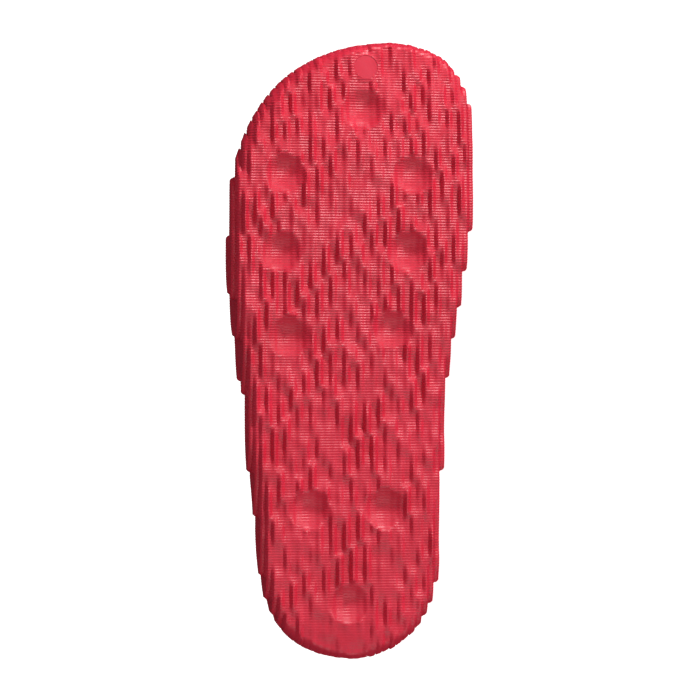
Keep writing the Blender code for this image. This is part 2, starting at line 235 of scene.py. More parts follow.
# Shares of the step beside it that an edge drops, and of that drop that reaches the column next to it
EDGE_DROP = 0.5
EDGE_INNER = 0.12

# Columns of corners in one slice, and the length behind its end that a rounded corner moves
COLUMNS = 4
CORNER_FADE = 0.005

# Strength of the ribs at the heel, behind the ball and on the footbed, stretches where they fade out at
# the tips, bare ring round the mark, and edge over which its rough skin and its paler red, a painted sheen,
# fade
HEEL_RIBS = 0.35
BACK_RIBS = 0.65
BED_RIBS = 0.6
RIB_FREE_HEEL = 0.006
RIB_FREE_TOE = 0.004
MARK_CLEAR = 0.2 * MILLIMETRE
MARK_FADE = 0.3 * MILLIMETRE

# Heights on the strap over its seat between which ribs and waves come in, and reach of its inner face
STRAP_RIBS_RISE = (0.0002, 0.001)
STRAP_WAVES_RISE = (0.004, 0.02)
INSIDE_REACH = 1.02

# How finely shapes are sampled
SEAT_SAMPLES = 20
STRAP_SAMPLES = 120
OUTLINE_SAMPLES = 400
REACH_SAMPLES = 2400
SLOPE_REACH = 0.0005
BED_END_ANGLE = 0.06
BED_LANES = 41
RECESS_STATIONS = 90
RECESS_LANES = 25
TUNNEL_RINGS = 49
TUNNEL_SIDES = 73
MARK_SIDES = 64

# Least angles at which an edge is left crisp: rib lines, and borders between slices, which are the edges
# whose part along the shoe is over this share
RIB_CREASE = math.radians(8.0)
BORDER_CREASE = math.radians(36.0)
ALONG_SHARE = 0.5

# Foam: width of a cloud of pigment in millimetres, grains to a millimetre, depth of the grain in metres,
# roughness and grain strength of the moulded faces and of the footbed
CLOUD_WIDTH = 25.0
GRAIN_COUNT = 2.6
GRAIN_DEPTH = 0.08 * MILLIMETRE
SATIN = (0.46, 0.25)
MATT = (0.55, 0.35)
ROUGHNESS_CHANGE = 0.05
DULL_ROUGHNESS = 0.85

# Lamps: name, share of the direction out from the tread and share aside, parts of the latter to the toe
# and to the inner side, distance and width in metres, power in watts
LAMPS = (
    ("key from the inner side", 1.0, 1.15, 0.25, 0.95, 1.4, 0.45, 5.2),
    ("grazing light from the toe", 1.0, 2.4, 1.0, 0.35, 1.5, 0.22, 24.0),
    ("front fill", 1.0, 0.5, 0.5, -0.8, 1.6, 1.0, 5.2),
    ("soft light from the heel", 1.0, 1.4, -1.0, 0.2, 1.5, 0.8, 5.5),
    ("back light over the toe", -1.0, 0.5, 0.9, 0.5, 1.6, 1.0, 12.0),
    ("back light over the heel", -1.0, 0.7, -0.9, 0.4, 1.6, 0.5, 20.0),
    ("soft light on the outer wall", -0.7, 1.0, 0.1, -1.0, 1.6, 1.0, 3.5),
)
ROOM_LIGHT = 0.25
FLOOR_REACH = 3.0

# Camera: width of the picture in pixels and of a pixel in metres, angles in degrees, and its aim in metres
PHOTO_WIDTH = 700.0
PHOTO_PIXEL = 0.000463
VIEW_FIELD = 12.0
VIEW_TILT = 6.5
VIEW_AIM = (0.94 * MILLIMETRE, LENGTH / 2.0, 0.002)
VIEW_END = 20.0


def shoe_frame():
    """Where the shoe's own frame lies, from the two places where its tread meets the ground."""
    fore, heel = (Vector(mount["pos_m"]) for mount in frame["record"]["mounts"])
    toe = (fore - heel).normalized()
    up = -Vector(frame["record"]["mounts"][0]["axis"])
    outer = toe.cross(up).normalized()
    up = outer.cross(toe)
    origin = heel - outer * HEEL_PAD[1] * BALL_WIDTH - toe * HEEL_PAD[0] * LENGTH
    turn = Matrix((outer, toe, up)).transposed().to_4x4()
    return Matrix.Translation(origin) @ turn


SHOE = shoe_frame()


def to_world(points):
    """Points of the shoe frame, placed as the shoe lies."""
    turn = np.array(SHOE.to_3x3())
    return points @ turn.T + np.array(SHOE.translation)


def to_shoe(points):
    """Points of the lying shoe, read in the shoe frame."""
    turn = np.array(SHOE.to_3x3())
    return (points - np.array(SHOE.translation)) @ turn


def station_angle(station):
    """Stations as angles of a half circle, which makes both ends of the outline round."""
    return np.arccos(1.0 - 2.0 * np.clip(station, 0.0, 1.0))


def read_table(rows, columns, name, station):
    """A named column read between its rows by a smooth cubic."""
    angles = station_angle(np.array([row[0] for row in rows]))
    values = np.array([row[columns.index(name)] for row in rows])
    slopes = np.gradient(values, angles)
    wanted = station_angle(station)
    row = np.clip(np.searchsorted(angles, wanted) - 1, 0, len(angles) - 2)
    width = angles[row + 1] - angles[row]
    t = (wanted - angles[row]) / width
    start = (1.0 + 2.0 * t) * (1.0 - t) ** 2 * values[row]
    start += t * (1.0 - t) ** 2 * width * slopes[row]
    end = t ** 2 * (3.0 - 2.0 * t) * values[row + 1]
    end += t ** 2 * (t - 1.0) * width * slopes[row + 1]
    return start + end


def smooth(low, high, value):
    """0 below low, 1 above high, eased between them."""
    t = np.clip((value - low) / (high - low), 0.0, 1.0)
    return t * t * (3.0 - 2.0 * t)


def centre(y):
    """Middle of the outline at y."""
    return BALL_WIDTH * read_table(OUTLINE, OUTLINE_COLUMNS, "centre", y / LENGTH)


def half_width(y):
    """Half the width of the outline at y."""
    return BALL_WIDTH * read_table(OUTLINE, OUTLINE_COLUMNS, "half_width", y / LENGTH)


def rim(y):
    """Height of the sole's rim."""
    return HEEL_HEIGHT * read_table(PROFILE, PROFILE_COLUMNS, "rim", y / LENGTH)


def bed(y):
    """Height of the footbed along its middle."""
    return HEEL_HEIGHT * read_table(PROFILE, PROFILE_COLUMNS, "bed", y / LENGTH)


def lift(y):
    """Height of the tread's lowest surface: toe spring, arch and heel bevel, flat elsewhere."""
    return TOE_SPRING * np.maximum(read_table(PROFILE, PROFILE_COLUMNS, "lift", y / LENGTH), 0.0)


def bed_station(y):
    """Station of the recess outline at y."""
    return (y - RIM_END) / (LENGTH - 2.0 * RIM_END)


def bed_half_width(station):
    """Half the width of the recess at a station of its own length."""
    return (BALL_WIDTH - 2.0 * RIM_SIDE) * read_table(OUTLINE, OUTLINE_COLUMNS, "half_width", station)


def bed_centre(station):
    """Middle of the recess at a station of its own length."""
    return BALL_WIDTH * read_table(OUTLINE, OUTLINE_COLUMNS, "centre", station)


def strap_seat():
    """Height of the ledge that the strap stands on."""
    y = np.linspace(STRAP_BACK, STRAP_FRONT, SEAT_SAMPLES) * LENGTH
    return float(rim(y).min()) - STRAP_SINK


def slice_edges():
    """Borders of the slices, from the inner side to the outer side and one slice beyond."""
    y = np.linspace(0.0, LENGTH, OUTLINE_SAMPLES)
    low = float((centre(y) - half_width(y)).min())
    high = float((centre(y) + half_width(y)).max())
    count = max(LEAST_SLICES, round((high - low) / SLICE))
    u = np.linspace(-1.0, 1.0, count + 1)
    edges = (high + low) / 2.0 + (high - low) / 2.0 * (u + SLICE_SWELL * np.sin(math.pi * u) / math.pi)
    return np.append(edges, 2.0 * edges[-1] - edges[-2])


def outline_reach(x):
    """First and last y of the outline at each x, or the nearest point where x lies outside it."""
    y = np.linspace(0.0, LENGTH, REACH_SAMPLES)
    inside = half_width(y)[None, :] - np.abs(np.atleast_1d(x)[:, None] - centre(y)[None, :])
    back = np.full(len(inside), np.nan)
    front = np.full(len(inside), np.nan)
    for n, row in enumerate(inside):
        found = np.nonzero(row > 0.0)[0]
        if len(found) > 1:
            back[n] = y[found[0]]
            front[n] = y[found[-1]]
    return back, front


def edge_distance(x, y):
    """How far a point lies in from the outline."""
    behind = np.clip(y - SLOPE_REACH, 0.0, LENGTH)
    ahead = np.clip(y + SLOPE_REACH, 0.0, LENGTH)
    inside = half_width(y) - np.abs(x - centre(y))
    change = half_width(ahead) - np.abs(x - centre(ahead)) - half_width(behind) + np.abs(x - centre(behind))
    return np.maximum(inside, 0.0) / np.hypot(1.0, change / (ahead - behind))


def side_share(x, y):
    """0 at the inner side of the outline, 1 at the outer side."""
    return np.clip(0.5 + (x - centre(y)) / np.maximum(2.0 * half_width(y), RIM_SIDE), 0.0, 1.0)


def sum_of_waves(waves, x, y):
    """Waves added up, and brought to about -1 to 1."""
    total = np.zeros_like(y)
    for strength, across, along, start in waves:
        turns = x / (across * MILLIMETRE) + y / (along * MILLIMETRE) + start
        total += strength * np.sin(FULL_TURN * turns)
    return total / math.sqrt(sum(wave[0] ** 2 for wave in waves))


def tread_relief(x, y):
    """Depth of the tread below its highest spots as a share, for the slice whose middle is at x."""
    toe_share = smooth(*TOE_WAVES_RISE, y / LENGTH)
    wave = sum_of_waves(WAVES, x, y) * (1.0 - toe_share) + sum_of_waves(TOE_WAVES, x, y) * toe_share
    strength = HEEL_CALM + (1.0 - HEEL_CALM) * smooth(*HEEL_WAVES_RISE, y / LENGTH) + TOE_EXTRA * toe_share
    strength *= 1.0 + PATCHES * sum_of_waves(PATCH_WAVES, x, y)
    return 0.5 + 0.5 * np.tanh(strength * wave)


def rounded_larger(first, second, rounding):
    """The larger of two heights, with the ridge where they cross rounded off."""
    share = np.clip(0.5 + 0.5 * (second - first) / rounding, 0.0, 1.0)
    return first + (second - first) * share + rounding * share * (1.0 - share)


def dish_height(x, slice_x, y):
    """Height of the dishes' round floors, far below the ground where there is none."""
    ball = (DISH_RADIUS ** 2 + DISH_DEPTH ** 2) / (2.0 * DISH_DEPTH)
    height = np.full_like(y, FAR_BELOW)
    for station, across in DISHES:
        middle = station * LENGTH
        blended = (1.0 - DISH_STEP) * x + DISH_STEP * slice_x
        away = np.hypot(blended - across * BALL_WIDTH, y - middle)
        depth = np.sqrt(np.maximum(ball ** 2 - away ** 2, 0.0)) - ball + DISH_DEPTH
        found = np.where(away < ball, float(lift(middle)) + depth, FAR_BELOW)
        height = np.maximum(height, found)
    return height


def sole_heights(slice_x, x, y, tread_depth):
    """Underside and top of the sole at x, in the slice whose middle is at slice_x."""
    side = side_share(slice_x, y)
    station = y / LENGTH
    even = np.maximum(smooth(*EVEN_OUTER_TOE, station) * smooth(*OUTER_HALF, slice_x),
                      np.maximum(smooth(*EVEN_TOE, station), 1.0 - smooth(*EVEN_HEEL, station)))
    distance = edge_distance(slice_x + (x - slice_x) * even, y)
    widest = WIDEST_INNER + (WIDEST_OUTER - WIDEST_INNER) * side
    upright = np.where(y < LEAN_CHANGE * LENGTH, side, 0.0)
    lean = LEAN_INNER + (LEAN_OUTER - LEAN_INNER) * upright
    wave = WALL_WAVE * np.sin(FULL_TURN * (y / WALL_WAVE_LENGTH + slice_x / WALL_WAVE_ACROSS))
    away = 1.0 - np.clip(distance / EDGE_ROUND, 0.0, 1.0)
    rounding = 1.0 - np.sqrt(1.0 - away ** 2)
    leaning = np.clip(1.0 - distance / lean, 0.0, 1.0)
    ground = lift(y)
    relief = tread_depth * tread_relief(slice_x, y) + SWELL_DEPTH * sum_of_waves(SWELL_WAVES, x, y)
    from_mark = np.hypot(x - MARK[1] * BALL_WIDTH, y - MARK[0] * LENGTH)
    mark_share = 1.0 - smooth(MARK_RADIUS, MARK_RADIUS + SLICE, from_mark)
    relief += (MARK_LEVEL * tread_depth - relief) * mark_share
    under = ground + relief * (1.0 - rounding) + (widest + wave * away) * rounding
    dish = dish_height(x, slice_x, y)
    under = rounded_larger(under, dish, DISH_RIM)
    shoulder = ground + widest + wave * away + EDGE_BAND
    top = rim(y) - (rim(y) - shoulder) * leaning
    return under, np.maximum(top, under + EDGE_BAND)


def strap_sides(y):
    """Inner and outer limits of the strap at y."""
    inner = centre(y) - half_width(y) + STRAP_TUCK_INNER
    outer = centre(y) + half_width(y) - STRAP_TUCK_OUTER
    return inner, outer


def strap_share(y):
    """0 at the back edge of the strap's feet, 1 at the front edge."""
    share = (y / LENGTH - STRAP_BACK) / (STRAP_FRONT - STRAP_BACK)
    return np.clip(share, -STRAP_OVERRUN, 1.0 + STRAP_OVERRUN)


def tunnel_height(y):
    """Height of the arch under the strap, over the ledge."""
    return CLEAR_BACK + (CLEAR_FRONT - CLEAR_BACK) * strap_share(y)


def strap_top(x, y):
    """Height of the strap's outer face over the ledge, for the slice whose middle is at x."""
    inner, outer = strap_sides(y)
    u = np.clip(np.abs(2.0 * x - inner - outer) / (outer - inner), 0.0, 1.0)
    crown = tunnel_height(y) + STRAP_WALL
    return crown * (1.0 - u ** ARCH_SQUARENESS) ** (1.0 / ARCH_SQUARENESS)


def strap_reach(x, number):
    """Back and front end of one slice of the strap."""
    y = np.linspace(STRAP_BACK, STRAP_FRONT, STRAP_SAMPLES) * LENGTH
    inner, outer = strap_sides(y)
    middle = float(np.mean(inner + outer)) / 2.0
    u = abs(x - middle) / float(np.mean(outer - inner)) * 2.0
    advance = max(0.0, 1.0 - (u / ADVANCE_REACH) ** 2) ** ADVANCE_POWER
    stagger = EDGE_STAGGER * (0.5 + 0.5 * math.sin(STAGGER_TURN * number))
    back = y[0] + stagger - BACK_ADVANCE * advance
    front = y[-1] - stagger + FRONT_ADVANCE * advance
    y = np.linspace(back, front, OUTLINE_SAMPLES)
    tall = np.nonzero(strap_top(x, y) > LEAST_FOOT)[0]
    if len(tall) < 2:
        return None
    return float(y[tall[0]]), float(y[tall[-1]])


def corner_offsets(gaps, insets, radius):
    """How far each column of a slice stays behind the slice's end, to round its free corners."""
    offsets = np.zeros(len(insets[0]))
    for gap, inset in zip(gaps, insets):
        bend = min(max(gap, 0.0), radius)
        if bend > 0.0:
            short = np.clip(bend - np.array(inset), 0.0, bend)
            offsets = np.maximum(offsets, bend - np.sqrt(bend ** 2 - short ** 2))
    return offsets


def sliced_solid(name, plates, heights, pitch, riser, soft_edge, corner, follow=None):
    """One closed body of upright slices on a lattice with a row at each rib's crest and groove.

    A plate is its left and right border, and its back and front end. follow takes a slice's columns, one
    of its ends, their offsets from it and the side, 1 for the front, and gives the offsets to use.
    """
    columns = []
    column_x = []
    slice_x = []
    for number, (left, right, _, _) in enumerate(plates):
        for x in (left + riser / 2.0, left + soft_edge, right - soft_edge, right - riser / 2.0):
            columns.append(number)
            column_x.append(x)
            slice_x.append((left + right) / 2.0)
    columns = np.array(columns)
    column_x = np.array(column_x)
    slice_x = np.array(slice_x)
    backs = np.array([plate[2] for plate in plates])
    fronts = np.array([plate[3] for plate in plates])
    step = pitch / 2.0
    first = int(round(backs.min() / step))
    last = int(round(fronts.max() / step))
    rows = np.arange(first, last + 1)
    start_row = np.round(backs / step).astype(int) - first
    end_row = np.round(fronts / step).astype(int) - first
    y = np.repeat((rows // 2 * pitch + rows % 2 * GROOVE_PLACE * pitch)[None, :], len(columns), axis=0)
    y = np.clip(y, backs[columns][:, None], fronts[columns][:, None])
    for number in range(len(plates)):
        own = slice(COLUMNS * number, COLUMNS * (number + 1))
        y[own, start_row[number]] = backs[number]
        y[own, end_row[number]] = fronts[number]
        width = plates[number][1] - plates[number][0]
        insets = ((riser / 2.0, soft_edge, width - soft_edge, width - riser / 2.0),
                  (width - riser / 2.0, width - soft_edge, soft_edge, riser / 2.0))
        around = [n if 0 <= n < len(plates) else None for n in (number - 1, number + 1)]
        front_gaps = [corner if n is None else fronts[number] - fronts[n] for n in around]
        back_gaps = [corner if n is None else backs[n] - backs[number] for n in around]
        ahead = -corner_offsets(front_gaps, insets, corner)
        behind = corner_offsets(back_gaps, insets, corner)
        if follow is not None:
            ahead = follow(column_x[own], fronts[number], ahead, 1)
            behind = follow(column_x[own], backs[number], behind, 0)
        near_front = np.clip(1.0 - (fronts[number] - y[own]) / CORNER_FADE, 0.0, 1.0) ** 2
        near_back = np.clip(1.0 - (y[own] - backs[number]) / CORNER_FADE, 0.0, 1.0) ** 2
        y[own] += ahead[:, None] * near_front + behind[:, None] * near_back
    row_number = np.arange(len(rows))[None, :]
    has = (row_number >= start_row[columns][:, None]) & (row_number <= end_row[columns][:, None])
    under, over = heights(slice_x[:, None] + 0.0 * y, column_x[:, None] + 0.0 * y, y)

    def ease(surface, sign):
        """The surface with both edges of each slice rounded off. The sign is 1 below and -1 above."""
        eased = surface.copy()
        for own in range(0, len(columns), COLUMNS):
            for border, inner, beside in ((own, own + 1, own - 1), (own + 3, own + 2, own + 4)):
                drop = np.full(len(rows), EDGE_FREE * soft_edge)
                if 0 <= beside < len(columns):
                    drop = np.where(has[beside], sign * (surface[beside] - surface[border]), drop)
                ease_by = np.clip(EDGE_DROP * drop, EDGE_GROOVE * soft_edge, EDGE_MOST * soft_edge)
                eased[border] += sign * ease_by
                eased[inner] += sign * EDGE_INNER * ease_by
        return eased

    under = ease(under, 1.0)
    over = np.maximum(ease(over, -1.0), under + EDGE_BAND / 2.0)
    cells = has[:-1, :-1] & has[:-1, 1:] & has[1:, :-1] & has[1:, 1:]
    used = np.zeros_like(has)
    used[:-1, :-1] |= cells
    used[:-1, 1:] |= cells
    used[1:, :-1] |= cells
    used[1:, 1:] |= cells
    count = int(used.sum())
    number_of = np.full(has.shape, -1)
    number_of[used] = np.arange(count)
    x_all = np.repeat(column_x[:, None], len(rows), axis=1)
    low = np.stack((x_all[used], y[used], under[used]), axis=1)
    high = np.stack((x_all[used], y[used], over[used]), axis=1)
    c, r = np.nonzero(cells)
    a = number_of[c, r]
    b = number_of[c + 1, r]
    d = number_of[c + 1, r + 1]
    e = number_of[c, r + 1]
    faces = [np.stack((a, e, d, b), axis=1), np.stack((a, b, d, e), axis=1) + count]
    padded = np.zeros((cells.shape[0] + 2, cells.shape[1] + 2), bool)
    padded[1:-1, 1:-1] = cells
    for away_c, away_r, start, end in ((-1, 0, a, e), (1, 0, d, b), (0, -1, b, a), (0, 1, e, d)):
        free = ~padded[c + 1 + away_c, r + 1 + away_r]
        s = start[free]
        t = end[free]
        faces.append(np.stack((t, s, s + count, t + count), axis=1))
    return make_mesh(name, np.concatenate((low, high)), np.concatenate(faces).tolist())


def make_mesh(name, points, faces):
    """An object whose mesh is given in the shoe frame, placed as the shoe lies."""
    mesh = bpy.data.meshes.new(name)
    mesh.from_pydata(to_world(np.asarray(points, float)).tolist(), [], faces)
    mesh.validate()
    made = bpy.data.objects.new(name, mesh)
    bpy.context.scene.collection.objects.link(made)
    shape = bmesh.new()
    shape.from_mesh(mesh)
    bmesh.ops.recalc_face_normals(shape, faces=shape.faces)
    shape.to_mesh(mesh)
    shape.free()
    return made


def grid_solid(name, low, top):
    """One closed body between two grids of points that lie over each other."""
    low = np.asarray(low)
    top = np.asarray(top)
    rows, lanes = low.shape[:2]
    count = rows * lanes
    number = np.arange(count).reshape(rows, lanes)
    a, b, d, e = number[:-1, :-1], number[:-1, 1:], number[1:, 1:], number[1:, :-1]
    under = np.stack((a, b, d, e), axis=-1).reshape(-1, 4)
    over = np.stack((a, e, d, b), axis=-1).reshape(-1, 4) + count
    ring = np.concatenate((number[0, :-1], number[:-1, -1], number[-1, :0:-1], number[:0:-1, 0]))
    after = np.roll(ring, -1)
    wall = np.stack((ring, ring + count, after + count, after), axis=1)
    points = np.concatenate((low.reshape(-1, 3), top.reshape(-1, 3)))
    return make_mesh(name, points, np.concatenate((under, over, wall)).tolist())


def cut(piece, cutter):
    """Takes a cutter out of a piece for good."""
    modifier = piece.modifiers.new("cut", "BOOLEAN")
    modifier.operation = "DIFFERENCE"
    modifier.solver = "MANIFOLD"
    modifier.object = cutter
    bake(piece)
    mesh = cutter.data
    bpy.data.objects.remove(cutter)
    bpy.data.meshes.remove(mesh)


def bake(piece):
    """Turns a piece and its modifiers into a plain mesh."""
    bpy.context.view_layer.update()
    graph = bpy.context.evaluated_depsgraph_get()
    mesh = bpy.data.meshes.new_from_object(piece.evaluated_get(graph))
    old = piece.data
    piece.modifiers.clear()
    piece.data = mesh
    mesh.name = piece.name
    bpy.data.meshes.remove(old)


def clear_flaps(piece):
    """Removes flat flaps, which are two faces back to back on the same corners, left by cutting."""
    shape = bmesh.new()
    shape.from_mesh(piece.data)
    many_sided = [face for face in shape.faces if len(face.verts) > 4]
    bmesh.ops.triangulate(shape, faces=many_sided)
    found = {}
    for face in shape.faces:
        found.setdefault(frozenset(corner.index for corner in face.verts), []).append(face)
    flaps = [face for faces in found.values() if len(faces) > 1 for face in faces]
    bmesh.ops.delete(shape, geom=flaps, context="FACES")
    shape.to_mesh(piece.data)
    shape.free()


def places_of(piece):
    """Every corner of a piece, in the shoe frame."""
    points = np.empty(len(piece.data.vertices) * 3)
    piece.data.vertices.foreach_get("co", points)
    return to_shoe(points.reshape(-1, 3))


def add_node(tree, kind, sockets=None, **settings):
    """Adds a node with its settings. A socket takes a value or another node's output."""
    made = tree.nodes.new(kind)
    for name, value in settings.items():
        setattr(made, name, value)
    for key, value in (sockets or {}).items():
        if isinstance(value, bpy.types.NodeSocket):
            tree.links.new(value, made.inputs[key])
        else:
            made.inputs[key].default_value = value
    return made


def linear(colour):
    """An sRGB hex colour as linear red, green, blue and alpha."""
    values = [int(colour[n:n + 2], 16) / 255.0 for n in (1, 3, 5)]
    return (*(v / 12.92 if v <= 0.04045 else ((v + 0.055) / 1.055) ** 2.4 for v in values), 1.0)


def rib_tree():
    """Geometry nodes that press fine ribs across the shoe into a surface."""
    tree = bpy.data.node_groups.new("moulded ribs", "GeometryNodeTree")
    for name, kind in (("Geometry", "Geometry"), ("Rib Pitch", "Float"), ("Rib Depth", "Float"),
                       ("Toe Direction", "Vector"), ("Heel Point", "Vector"), ("Foam", "Material")):
        tree.interface.new_socket(name, in_out="INPUT", socket_type="NodeSocket" + kind)
    tree.interface.new_socket("Geometry", in_out="OUTPUT", socket_type="NodeSocketGeometry")
    given = add_node(tree, "NodeGroupInput").outputs
    place = add_node(tree, "GeometryNodeInputPosition").outputs["Position"]
    from_heel = add_node(tree, "ShaderNodeVectorMath", {0: place, 1: given["Heel Point"]},
                         operation="SUBTRACT").outputs["Vector"]
    along = add_node(tree, "ShaderNodeVectorMath", {0: from_heel, 1: given["Toe Direction"]},
                     operation="DOT_PRODUCT").outputs["Value"]
    turns = add_node(tree, "ShaderNodeMath", {0: along, 1: given["Rib Pitch"]},
                     operation="DIVIDE").outputs["Value"]
    part = add_node(tree, "ShaderNodeMath", {0: turns}, operation="FRACT").outputs["Value"]
    falling = add_node(tree, "ShaderNodeMath", {0: part, 1: GROOVE_PLACE},
                       operation="DIVIDE").outputs["Value"]
    rest = add_node(tree, "ShaderNodeMath", {0: 1.0, 1: part}, operation="SUBTRACT").outputs["Value"]
    rising = add_node(tree, "ShaderNodeMath", {0: rest, 1: 1.0 - GROOVE_PLACE},
                      operation="DIVIDE").outputs["Value"]
    groove = add_node(tree, "ShaderNodeMath", {0: falling, 1: rising}, operation="MINIMUM").outputs["Value"]
    share = add_node(tree, "GeometryNodeInputNamedAttribute", {"Name": "rib_share"},
                     data_type="FLOAT").outputs["Attribute"]
    shared = add_node(tree, "ShaderNodeMath", {0: groove, 1: share}, operation="MULTIPLY").outputs["Value"]
    depth = add_node(tree, "ShaderNodeMath", {0: shared, 1: given["Rib Depth"]},
                     operation="MULTIPLY").outputs["Value"]
    inward = add_node(tree, "ShaderNodeMath", {0: depth, 1: -1.0}, operation="MULTIPLY").outputs["Value"]
    normal = add_node(tree, "GeometryNodeInputNormal").outputs["Normal"]
    offset = add_node(tree, "ShaderNodeVectorMath", {0: normal, "Scale": inward},
                      operation="SCALE").outputs["Vector"]
    moved = add_node(tree, "GeometryNodeSetPosition",
                     {"Geometry": given["Geometry"], "Offset": offset}).outputs["Geometry"]
    real = add_node(tree, "GeometryNodeRealizeInstances", {"Geometry": moved}).outputs["Geometry"]
    dressed = add_node(tree, "GeometryNodeSetMaterial",
                       {"Geometry": real, "Material": given["Foam"]}).outputs["Geometry"]
    add_node(tree, "NodeGroupOutput", {"Geometry": dressed})
    return tree


def store_share(piece, name, share):
    """Keeps a share from 0 to 1 at each corner of a piece, for its nodes to read."""
    attribute = piece.data.attributes.new(name, "FLOAT", "POINT")
    attribute.data.foreach_set("value", np.asarray(share, np.float32))


def press_ribs(piece, share, depth, foam):
    """Presses the ribs into a piece by its geometry nodes and makes the result its mesh."""
    sizes = bpy.context.scene.slide_sizes
    store_share(piece, "rib_share", share)
    tree = bpy.data.node_groups.get("moulded ribs") or rib_tree()
    modifier = piece.modifiers.new("moulded ribs", "NODES")
    modifier.node_group = tree
    wanted = {
        "Rib Pitch": sizes.rib_pitch,
        "Rib Depth": depth,
        "Toe Direction": SHOE.to_3x3().col[1][:],
        "Heel Point": SHOE.translation[:],
        "Foam": foam,
    }
    for socket in tree.interface.items_tree:
        if socket.in_out == "INPUT" and socket.name in wanted:
            modifier[socket.identifier] = wanted[socket.name]
    bake(piece)
    piece.data.attributes.remove(piece.data.attributes["rib_share"])


def shade_piece(piece):
    """Smooth shading with crisp rib lines, which run across the shoe, and softer slice borders."""
    along = SHOE.to_3x3().col[1]
    shape = bmesh.new()
    shape.from_mesh(piece.data)
    for face in shape.faces:
        face.smooth = True
    for edge in shape.edges:
        way = edge.verts[1].co - edge.verts[0].co
        runs_along = abs(way.dot(along)) > ALONG_SHARE * way.length
        edge.smooth = edge.calc_face_angle(0.0) < (BORDER_CREASE if runs_along else RIB_CREASE)
    shape.to_mesh(piece.data)
    shape.free()


def finish_piece(piece, node):
    """Shades a piece and hands it to the frame in place of its solid."""
    shade_piece(piece)
    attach(piece, "root")
    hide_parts(node)


def moulded_foam(name, main, deep, dull_colour_and_painted_sheen, roughness, grain):
    """Injection moulded EVA foam: a closed satin skin with a fine grain.

    Corners with a share in the stored mask, which are the mould's flat mark and the strap's inside, are
    rough and take the colour given for them; on the sole that is a paler red, a painted sheen on the flat
    mark.
    the dull colour.
    """
    material = bpy.data.materials.new(name)
    material.use_nodes = True
    tree = material.node_tree
    shader = tree.nodes["Principled BSDF"]
    place = add_node(tree, "ShaderNodeTexCoord").outputs["Object"]
    turn = SHOE.to_3x3().inverted().to_euler()
    shoe_place = add_node(tree, "ShaderNodeMapping", {"Vector": place, "Rotation": turn,
                                                      "Scale": (1.0 / MILLIMETRE,) * 3}).outputs["Vector"]
    # Cloudy tone of the pigment
    cloud = add_node(tree, "ShaderNodeTexNoise", {"Vector": shoe_place, "Scale": 1.0 / CLOUD_WIDTH,
                                                  "Detail": 3.0, "Roughness": 0.55}).outputs["Fac"]
    tone = add_node(tree, "ShaderNodeMapRange",
                    {"Value": cloud, "From Min": 0.3, "From Max": 0.7}).outputs["Result"]
    mixed = add_node(tree, "ShaderNodeMix", {"Factor": tone, 6: linear(main), 7: linear(deep)},
                     data_type="RGBA").outputs[2]
    # Rough corners; on the sole's flat mark they also take the paler red, a painted sheen
    rough_and_sheen_share = add_node(tree, "ShaderNodeAttribute", attribute_name="dull_and_painted_sheen_share").outputs["Fac"]
    skin = add_node(tree, "ShaderNodeMix", {"Factor": rough_and_sheen_share, 6: mixed, 7: linear(dull_colour_and_painted_sheen)},
                    data_type="RGBA").outputs[2]
    tree.links.new(skin, shader.inputs["Base Color"])
    # Grain of the skin, drawn coarser than the real one so that it shows
    fine = add_node(tree, "ShaderNodeTexNoise", {"Vector": shoe_place, "Scale": GRAIN_COUNT,
                                                 "Detail": 2.0, "Roughness": 0.6}).outputs["Fac"]
    bump = add_node(tree, "ShaderNodeBump",
                    {"Height": fine, "Strength": grain, "Distance": GRAIN_DEPTH}).outputs["Normal"]
    tree.links.new(bump, shader.inputs["Normal"])
    gloss = add_node(tree, "ShaderNodeMapRange",
                     {"Value": cloud, "To Min": roughness - ROUGHNESS_CHANGE,
                      "To Max": roughness + ROUGHNESS_CHANGE}).outputs["Result"]
    rough = add_node(tree, "ShaderNodeMix", {"Factor": rough_and_sheen_share, "A": gloss, "B": DULL_ROUGHNESS},
                     data_type="FLOAT").outputs["Result"]
    tree.links.new(rough, shader.inputs["Roughness"])
    shader.inputs["IOR"].default_value = 1.5
    shader.inputs["Specular IOR Level"].default_value = 0.42
    shader.inputs["Subsurface Weight"].default_value = 0.15
    shader.inputs["Subsurface Radius"].default_value = (1.0, 0.12, 0.12)
    shader.inputs["Subsurface Scale"].default_value = MILLIMETRE
    return material


class SlideSizes(bpy.types.PropertyGroup):
    """Sizes that a user would change."""

    rib_pitch: bpy.props.FloatProperty(
        name="Rib pitch", description="Distance between two fine ribs", default=0.00125,
        unit="LENGTH", precision=5)
    rib_depth: bpy.props.FloatProperty(
        name="Rib depth", description="How deep the grooves between the ribs are", default=0.00022,
        unit="LENGTH", precision=5)
    tread_depth: bpy.props.FloatProperty(
        name="Tread depth", description="Greatest step between two slices of the tread", default=0.0025,
        unit="LENGTH", precision=5)
    strap_relief: bpy.props.FloatProperty(
        name="Strap relief", description="Height of the waves in the strap's slices", default=0.0007,
        unit="LENGTH", precision=5)
    riser: bpy.props.FloatProperty(
        name="Riser", description="Width of the steep face between two slices", default=0.0008,
        unit="LENGTH", precision=5)
    soft_edge: bpy.props.FloatProperty(
        name="Soft edge", description="Width of the rounded edge of a slice", default=0.0011,
        unit="LENGTH", precision=5)
    corner: bpy.props.FloatProperty(
        name="Corner radius", description="Radius of a slice's free corner", default=0.0028,
        unit="LENGTH", precision=5)


